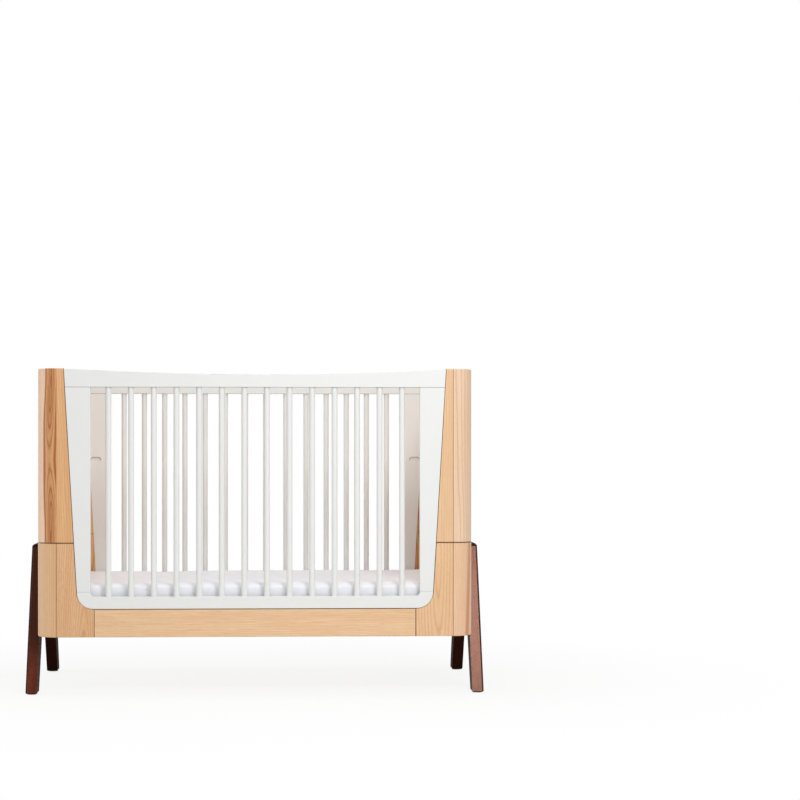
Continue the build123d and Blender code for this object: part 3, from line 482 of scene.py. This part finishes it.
def dress_walnut():
    """Dark stained walnut, oiled to a satin and finely flecked, with its light and shade painted into its
    colours:
    warm brown on the front legs' front faces, near black brown as painted shade elsewhere.
    """
    low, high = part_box("right_front_leg")
    shared = dict(ring=5.0, wander=5.0, line=0.5, roughness=0.22, specular=0.15, tint="#FFCFB9")
    # Roughness, the two painted shade colours and the head height for the front legs' other faces and their
    # top 8 mm.
    matt = (0.7, "#38190F", "#1C0C07", high.z - 8 * MM)
    looks = {
        # Left front leg: paler towards its foot as painted light; its other faces and top take the painted
        # shade.
        "left_front_leg": dict(
            early="#5A2A1B", late="#3C1A10", heart="#2A120B", specular=0.08,
            foot=(0.17, 0.06, "#482213", "#7A3A29"), sides=(*matt, front_plane("left_front_leg"))),
        # Right front leg: a paler, redder brown than the other legs, a painted highlight on its front face;
        # its other faces and top take the painted shade.
        "right_front_leg": dict(
            early="#84483A", late="#66362A", heart="#42201A", specular=0.27, fine=1.0, tone=0.8,
            sides=(*matt, front_plane("right_front_leg"))),
        # Rear legs: near black brown as painted shade.
        "left_rear_leg": dict(
            early="#30130B", late="#200C06", heart="#160804", specular=0.06, roughness=0.7),
        "right_rear_leg": dict(
            early="#34150C", late="#240E08", heart="#160804", specular=0.06, roughness=0.7),
    }
    # Leg rails: near black brown as painted shade, like the rear legs.
    rail_look = dict(early="#38190F", late="#1C0C07", heart="#1C0C07", roughness=0.7)
    lean = 0.2
    for side, sign in (("left", -1), ("right", 1)):
        middle = sign * (low.x + high.x) / 2
        for face, way in (("front", -1), ("rear", 1)):
            leg = f"{side}_{face}_leg"
            dress([leg], wood(
                f"walnut_{leg}", (middle - 0.06, way * 0.30, 0.10), (way * lean, 0.01, 0.0),
                **{**shared, **looks[leg]}))
        dress([f"{side}_leg_rail"], wood(
            f"walnut_{side}_leg_rail", (middle - 0.05, 0.0, 0.34), GRAIN_ACROSS,
            **{**shared, **rail_look}))


def dress_beech():
    """Plain sanded beech for what lies under the mattress: pinkish tan with short flecks."""
    look = dict(early="#DDB68C", late="#C99B6F", heart="#A9764C", ring=6.0, wander=8.0, line=0.3,
                roughness=0.55, pore_depth=0.05, tone=0.4)
    lengthwise = wood("beech_lengthwise", (0.0, 0.10, 0.15), GRAIN_ALONG, **look)
    crosswise = wood("beech_crosswise", (0.05, 0.0, 0.15), GRAIN_ACROSS, **look)
    dress(["front_base_ledger", "rear_base_ledger", "base_front_rail", "base_rear_rail",
           "frame_dowels", "end_dowels", "leg_dowels"], lengthwise)
    dress(["left_base_ledger", "right_base_ledger", "base_left_rail", "base_right_rail", "base_slats"],
          crosswise)


# ---------------------------------------------------------------- paint, nylon, steel
def socket_rim_shadow(tree):
    """1 along the upper rim of the sockets for the raised base, on the inner faces of the stiles alone:
    painted shadow.
    """
    low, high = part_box("socket_plates")
    inner_face = -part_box("front_left_stile")[1].y
    corner = 9 * MM
    play = 0.3 * MM
    half_z = (high.z - low.z) / 2 + play
    half_x = half_z + 5.5 * MM
    middle = (high.x + play - half_x, 0.0, (low.z + high.z) / 2)
    place = add_node(tree, "ShaderNodeTexCoord").outputs["Object"]
    place = add_node(tree, "ShaderNodeVectorMath", {0: place}, operation="ABSOLUTE").outputs[0]
    away = add_node(tree, "ShaderNodeVectorMath", {0: place, 1: middle}, operation="SUBTRACT").outputs[0]
    side = add_node(tree, "ShaderNodeVectorMath", {0: away}, operation="ABSOLUTE").outputs[0]
    side = add_node(
        tree, "ShaderNodeVectorMath", {0: side, 1: (half_x - corner, 0.0, half_z - corner)},
        operation="SUBTRACT").outputs[0]
    side = add_node(
        tree, "ShaderNodeVectorMath", {0: side, 1: (0.0, 0.0, 0.0)}, operation="MAXIMUM").outputs[0]
    side = add_node(
        tree, "ShaderNodeVectorMath", {0: side, 1: (1.0, 0.0, 1.0)}, operation="MULTIPLY").outputs[0]
    side = add_node(tree, "ShaderNodeVectorMath", {0: side}, operation="LENGTH").outputs["Value"]
    past = add_node(tree, "ShaderNodeMath", {0: side, 1: corner}, operation="SUBTRACT").outputs[0]
    reach = 1.6 * MM
    rim = line_mask(tree, past, 0.3 * reach, reach)
    rise = add_node(tree, "ShaderNodeSeparateXYZ", {0: away}).outputs[2]
    upper = add_node(tree, "ShaderNodeMapRange", {"Value": rise, "From Max": 4 * MM}).outputs[0]
    inwards = add_node(tree, "ShaderNodeSeparateXYZ", {0: place}).outputs[1]
    inside = add_node(
        tree, "ShaderNodeMapRange",
        {"Value": inwards, "From Min": inner_face + 0.5 * MM, "From Max": inner_face + 2 * MM,
         "To Min": 1.0, "To Max": 0.0}).outputs[0]
    rim = add_node(tree, "ShaderNodeMath", {0: rim, 1: upper}, operation="MULTIPLY").outputs[0]
    return add_node(tree, "ShaderNodeMath", {0: rim, 1: inside}, operation="MULTIPLY").outputs[0]


def lacquer(name, grain, seams=(), sockets=False):
    """White polyurethane lacquer sprayed on beech: a satin skin with a trace of grain and orange peel."""
    material, tree = new_material(name)
    place = along_grain(tree, (0.0, 0.0, 0.0), grain)
    # Orange peel is about 1.5 mm across. The grain under the paint shows as streaks 3 mm wide.
    peel = add_node(tree, "ShaderNodeTexNoise", {"Vector": place, "Scale": 1 / (1.5 * MM), "Detail": 1.0})
    grain_marks = streaks(tree, place, 3 * MM, 120 * MM).outputs[0]
    height = add_node(
        tree, "ShaderNodeMath", {0: peel.outputs[0], 1: 0.25, 2: grain_marks},
        operation="MULTIPLY_ADD").outputs[0]
    bump = add_node(
        tree, "ShaderNodeBump", {"Height": height, "Distance": 0.03 * MM, "Strength": 0.5})
    clouds = add_node(tree, "ShaderNodeTexNoise", {"Vector": place, "Scale": 6.0, "Detail": 2.0})
    colour = add_node(
        tree, "ShaderNodeMix", {"Factor": clouds.outputs[0], 6: linear("#EFF0EE"), 7: linear("#EBECE9")},
        data_type="RGBA").outputs[2]
    # Painted shadow hairlines along the joints with the rails.
    if seams:
        colour = add_node(
            tree, "ShaderNodeMix", {"Factor": seam_shade(tree, seams), 6: colour, 7: linear("#8A8A84")},
            data_type="RGBA").outputs[2]
    # Painted shadow under the upper rims of the sockets.
    if sockets:
        colour = add_node(
            tree, "ShaderNodeMix", {"Factor": socket_rim_shadow(tree), 6: colour, 7: linear("#80624E")},
            data_type="RGBA").outputs[2]
    shine = add_node(
        tree, "ShaderNodeMapRange", {"Value": grain_marks, "To Min": 0.30, "To Max": 0.40}).outputs[0]
    shader = add_node(
        tree, "ShaderNodeBsdfPrincipled",
        {"Base Color": colour, "Roughness": shine, "Specular IOR Level": 0.4, "Normal": bump.outputs[0]})
    add_node(tree, "ShaderNodeOutputMaterial", {"Surface": shader.outputs[0]})
    return material


def dress_lacquer():
    """The white side frames, with a painted shadow hairline where the stiles meet the rails and painted
    shadow under the upper rims of the sockets.
    """
    opening_top = level_seam(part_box("front_top_rail")[0].z)
    opening_foot = level_seam(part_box("front_left_stile")[0].z)
    dress([name for name in nodes if name.endswith("_stile")],
          lacquer("white_lacquer_stile", GRAIN_UP, [opening_top, opening_foot], sockets=True))
    dress(["front_spindles", "rear_spindles"], lacquer("white_lacquer_bar", GRAIN_UP))
    dress(["front_top_rail", "rear_top_rail"], lacquer("white_lacquer_top_rail", GRAIN_ALONG, [opening_top]))
    dress(["front_bottom_rail", "rear_bottom_rail"], lacquer("white_lacquer_bottom_rail", GRAIN_ALONG))


def nylon():
    """Injection moulded nylon: slightly warm white with a fine spark-eroded grain."""
    material, tree = new_material("white_nylon")
    place = add_node(tree, "ShaderNodeTexCoord").outputs["Object"]
    grit = add_node(
        tree, "ShaderNodeTexNoise", {"Vector": place, "Scale": 1 / (0.8 * MM), "Detail": 2.0}).outputs[0]
    bump = add_node(
        tree, "ShaderNodeBump", {"Height": grit, "Distance": 0.04 * MM, "Strength": 0.5})
    colour = add_node(
        tree, "ShaderNodeMix", {"Factor": grit, 6: linear("#F2F2EE"), 7: linear("#ECECE8")},
        data_type="RGBA").outputs[2]
    shine = add_node(
        tree, "ShaderNodeMapRange", {"Value": grit, "To Min": 0.45, "To Max": 0.60}).outputs[0]
    shader = add_node(
        tree, "ShaderNodeBsdfPrincipled",
        {"Base Color": colour, "Roughness": shine, "IOR": 1.53, "Normal": bump.outputs[0]})
    add_node(tree, "ShaderNodeOutputMaterial", {"Surface": shader.outputs[0]})
    return material


def zinc():
    """Bright zinc plate on steel: grey metal with a faint cloudy spangle, about 4 mm across."""
    material, tree = new_material("zinc_plated_steel")
    place = add_node(tree, "ShaderNodeTexCoord").outputs["Object"]
    cloud = add_node(
        tree, "ShaderNodeTexNoise", {"Vector": place, "Scale": 1 / (4 * MM), "Detail": 3.0}).outputs[0]
    colour = add_node(
        tree, "ShaderNodeMix", {"Factor": cloud, 6: linear("#C9CBCE"), 7: linear("#A9ACB0")},
        data_type="RGBA").outputs[2]
    shine = add_node(
        tree, "ShaderNodeMapRange", {"Value": cloud, "To Min": 0.26, "To Max": 0.42}).outputs[0]
    shader = add_node(
        tree, "ShaderNodeBsdfPrincipled", {"Base Color": colour, "Metallic": 1.0, "Roughness": shine})
    add_node(tree, "ShaderNodeOutputMaterial", {"Surface": shader.outputs[0]})
    return material


# ---------------------------------------------------------------- mattress
def cotton():
    """White combed cotton sheet: a soft plain weave that scatters light, with a trace of sheen."""
    material, tree = new_material("white_cotton_sheet")
    place = add_node(tree, "ShaderNodeTexCoord").outputs["Object"]
    # Threads are 0.4 mm apart, drawn 1.6 mm apart so that the weave shows close up.
    thread = 1.6 * MM
    weave = 0.0
    for direction in ("X", "Y", "Z"):
        threads = add_node(
            tree, "ShaderNodeTexWave",
            {"Vector": place, "Scale": math.tau / (20 * thread), "Distortion": 0.6, "Detail": 1.0},
            wave_type="BANDS", bands_direction=direction).outputs["Fac"]
        weave = add_node(tree, "ShaderNodeMath", {0: weave, 1: threads}, operation="ADD").outputs[0]
    bump = add_node(tree, "ShaderNodeBump", {"Height": weave, "Distance": 0.05 * MM, "Strength": 0.35})
    fluff = add_node(
        tree, "ShaderNodeTexNoise", {"Vector": place, "Scale": 40.0, "Detail": 3.0}).outputs[0]
    colour = add_node(
        tree, "ShaderNodeMix", {"Factor": fluff, 6: linear("#F5F6FB"), 7: linear("#ECEEF5")},
        data_type="RGBA").outputs[2]
    shine = add_node(
        tree, "ShaderNodeMapRange", {"Value": fluff, "To Min": 0.80, "To Max": 0.92}).outputs[0]
    shader = add_node(
        tree, "ShaderNodeBsdfPrincipled",
        {"Base Color": colour, "Roughness": shine, "Normal": bump.outputs[0], "Sheen Weight": 0.15,
         "Sheen Roughness": 0.4, "Specular IOR Level": 0.25})
    add_node(tree, "ShaderNodeOutputMaterial", {"Surface": shader.outputs[0]})
    return material


def rounded_block(low, high, corner, edge):
    """A block with round upright corners and softer round edges above and below."""
    mesh = bmesh.new()
    bmesh.ops.create_cube(mesh, size=1.0)
    bmesh.ops.scale(mesh, vec=high - low, verts=mesh.verts)
    bmesh.ops.translate(mesh, vec=(low + high) / 2, verts=mesh.verts)
    upright = [e for e in mesh.edges if abs(e.verts[0].co.z - e.verts[1].co.z) > edge]
    bmesh.ops.bevel(mesh, geom=upright, offset=corner, affect="EDGES", segments=8, profile=0.5, material=-1)
    rims = [e for e in mesh.edges if abs(e.verts[0].co.z - e.verts[1].co.z) < 1e-6
            and len({round(f.normal.z, 3) for f in e.link_faces}) == 2]
    bmesh.ops.bevel(mesh, geom=rims, offset=edge, affect="EDGES", segments=6, profile=0.5, material=-1)
    return mesh


def apply_modifiers(piece):
    """Bakes the piece's live modifiers into its mesh."""
    graph = bpy.context.evaluated_depsgraph_get()
    baked = bpy.data.meshes.new_from_object(piece.evaluated_get(graph))
    piece.modifiers.clear()
    piece.data = baked


def swell(piece, cap):
    """Blows the block up a little as stuffed cloth, and caps how far any point may move."""
    last_frame = 20
    start = [vertex.co.copy() for vertex in piece.data.vertices]
    cloth = piece.modifiers.new("Cloth", "CLOTH")
    settings = cloth.settings
    settings.use_pressure = True
    settings.uniform_pressure_force = 4.0
    settings.effector_weights.gravity = 0.0
    settings.quality = 4
    cloth.point_cache.frame_start = 1
    cloth.point_cache.frame_end = last_frame
    scene = bpy.context.scene
    for step in range(1, last_frame + 1):
        scene.frame_set(step)
    graph = bpy.context.evaluated_depsgraph_get()
    blown = [vertex.co.copy() for vertex in piece.evaluated_get(graph).data.vertices]
    piece.modifiers.clear()
    scene.frame_set(1)
    for vertex, was, now in zip(piece.data.vertices, start, blown):
        move = now - was
        if move.length > cap:
            move *= cap / move.length
        vertex.co = was + move


def crease(point, low, high):
    """How far the sheet stands off the foam here: soft folds, deepest round the corners."""
    centre = (low + high) / 2
    half = (high - low) / 2
    offset = point - centre
    side_x, side_y = half.x - abs(offset.x), half.y - abs(offset.y)
    to_corner = math.hypot(max(side_x, 0), max(side_y, 0))
    round_corner = math.exp(-to_corner / 0.11)
    on_side = math.exp(-min(side_x, side_y) / 0.03)
    # Folds that fan out from each corner, about 40 mm apart, with a slow wander.
    fan = math.sin((abs(offset.x) - abs(offset.y)) / 0.0085 + 3 * noise.noise(point * 9))
    # Long shallow puckers along the sides, about 55 mm apart.
    pucker = noise.noise(Vector((offset.x / 0.055, offset.y / 0.055, offset.z / 0.11)))
    broad = noise.noise(offset * 7)
    # The sheet is drawn tighter at the left end, so it stands fuller over the rest, away from the long sides.
    fuller = min(1.0, max(0.0, (offset.x + 0.27) / 0.12)) if side_y > 0.03 else 0.0
    return (2.0 * round_corner * fan + 2.2 * on_side * pucker + 1.8 * broad + 3.0 * fuller) * MM


def make_mattress():
    """Foam mattress in a fitted sheet. It swells a little, then the sheet's folds are laid on."""
    low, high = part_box("mattress")
    inset = Vector((3 * MM, 2 * MM, 0.0))
    lift = Vector((0.0, 0.0, 1 * MM))
    block = rounded_block(low + inset + lift, high - inset, corner=42 * MM, edge=11 * MM)
    piece = bpy.data.objects.new("mattress_sheet", bpy.data.meshes.new("mattress_sheet"))
    block.to_mesh(piece.data)
    block.free()
    bpy.context.scene.collection.objects.link(piece)
    remesh = piece.modifiers.new("Remesh", "REMESH")
    remesh.mode = "VOXEL"
    remesh.voxel_size = 10 * MM
    apply_modifiers(piece)
    swell(piece, cap=4 * MM)
    smooth = piece.modifiers.new("Subdivision", "SUBSURF")
    smooth.levels = smooth.render_levels = 1
    apply_modifiers(piece)
    shape = bmesh.new()
    shape.from_mesh(piece.data)
    shape.normal_update()
    # The underside lies flat on the slats, so the folds fade out over the lowest 30 mm.
    underside = low.z + 0.4 * MM
    for vertex in shape.verts:
        above = min(1.0, max(0.0, (vertex.co.z - low.z) / (30 * MM)))
        vertex.co += vertex.normal * crease(vertex.co, low, high) * above
        vertex.co.z = max(vertex.co.z, underside)
    shape.to_mesh(piece.data)
    shape.free()
    for polygon in piece.data.polygons:
        polygon.use_smooth = True
    piece.data.materials.append(cotton())
    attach(piece, "mattress")
    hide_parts("mattress")


# ---------------------------------------------------------------- studio
def is_seen(tree):
    """1 for rays from the camera, mirror-like rays and rays through glass, else 0."""
    path = add_node(tree, "ShaderNodeLightPath")
    seen = add_node(
        tree, "ShaderNodeMath", {0: path.outputs["Is Camera Ray"], 1: path.outputs["Is Glossy Ray"]},
        operation="ADD").outputs[0]
    return add_node(
        tree, "ShaderNodeMath", {0: seen, 1: path.outputs["Is Transmission Ray"]}, operation="ADD",
        use_clamp=True).outputs[0]


def make_floor():
    """A wide white floor that keeps a soft shadow and otherwise looks as white as the background."""
    mesh = bmesh.new()
    bmesh.ops.create_grid(mesh, x_segments=1, y_segments=1, size=30.0)
    floor = bpy.data.objects.new("studio_floor", bpy.data.meshes.new("studio_floor"))
    mesh.to_mesh(floor.data)
    mesh.free()
    bpy.context.scene.collection.objects.link(floor)
    material, tree = new_material("white_floor")
    paper = add_node(tree, "ShaderNodeBsdfDiffuse", {"Color": linear("#F4F4F4")})
    glow = add_node(tree, "ShaderNodeEmission", {"Color": (1, 1, 1, 1), "Strength": 1.0})
    # Round the crib a trace of the shadow shows. Further off the floor melts into the background.
    place = add_node(tree, "ShaderNodeTexCoord").outputs["Object"]
    away = add_node(tree, "ShaderNodeVectorMath", {0: place}, operation="LENGTH").outputs["Value"]
    glowing = add_node(
        tree, "ShaderNodeMapRange",
        {"Value": away, "From Min": 0.9, "From Max": 1.8, "To Min": 0.88}).outputs[0]
    share = add_node(
        tree, "ShaderNodeMath", {0: is_seen(tree), 1: glowing}, operation="MULTIPLY").outputs[0]
    both = add_node(tree, "ShaderNodeMixShader", {0: share, 1: paper.outputs[0], 2: glow.outputs[0]})
    add_node(tree, "ShaderNodeOutputMaterial", {"Surface": both.outputs[0]})
    floor.data.materials.append(material)


def make_world():
    """White all round: seen as pure white, and weaker as light."""
    world = bpy.data.worlds.new("studio_white")
    bpy.context.scene.world = world
    world.use_nodes = True
    tree = world.node_tree
    tree.nodes.clear()
    strength = add_node(tree, "ShaderNodeMapRange", {"Value": is_seen(tree), "To Min": 0.36}).outputs[0]
    sky = add_node(tree, "ShaderNodeBackground", {"Color": (1, 1, 1, 1), "Strength": strength})
    add_node(tree, "ShaderNodeOutputWorld", {"Surface": sky.outputs[0]})


def add_soft_box(name, size, watts, place, target):
    """A rectangular lamp of this width and height at a place, turned towards its target."""
    data = bpy.data.lights.new(name, "AREA")
    data.shape = "RECTANGLE"
    data.size, data.size_y = size
    data.energy = watts
    lamp = bpy.data.objects.new(name, data)
    lamp.location = place
    lamp.rotation_euler = (Vector(target) - Vector(place)).to_track_quat("-Z", "Y").to_euler()
    bpy.context.scene.collection.objects.link(lamp)


def make_camera():
    """Level, straight ahead of the crib and a little above its middle, turned slightly to the right."""
    data = bpy.data.cameras.new("camera")
    data.sensor_width = 36.0
    data.lens = 86.35
    data.shift_x, data.shift_y = 0.0841, 0.0613
    data.clip_start, data.clip_end = 0.1, 100.0
    camera = bpy.data.objects.new("camera", data)
    camera.location = (0.0, -6.261, 0.7557)
    camera.rotation_euler = Euler((math.radians(90), 0.0, math.radians(-2.3)))
    bpy.context.scene.collection.objects.link(camera)
    bpy.context.scene.camera = camera


# ---------------------------------------------------------------- the crib and its studio
dress_ash_front()
dress_ash_rear()
dress_ash_panels()
dress_ash_rails()
dress_walnut()
dress_beech()
dress_lacquer()
dress(["foot_glides", "socket_plates"], nylon())
dress(["leg_bolts", "leg_inserts", "cam_locks", "cam_bolts", "ledger_screws", "base_screws"], zinc())
make_mattress()

make_floor()
make_world()
add_soft_box("key", (0.8, 0.8), 43.0, (1.086, -2.93, 2.44), (0.5, -0.3, 0.3))
add_soft_box("front", (1.8, 1.6), 31.0, (-0.3, -3.6, 3.6), (0.0, 0.0, 0.6))
add_soft_box("back", (1.8, 1.6), 30.0, (-0.8, 4.2, 2.2), (0.0, 0.0, 0.6))
add_soft_box("side", (0.8, 2.0), 20.0, (-3.4, 0.0, 1.0), (0.0, 0.0, 0.5))
add_soft_box("top", (2.4, 1.6), 28.0, (0.0, 0.1, 3.4), (0.0, 0.0, 0.0))
make_camera()
bpy.context.scene.view_settings.view_transform = "Standard"
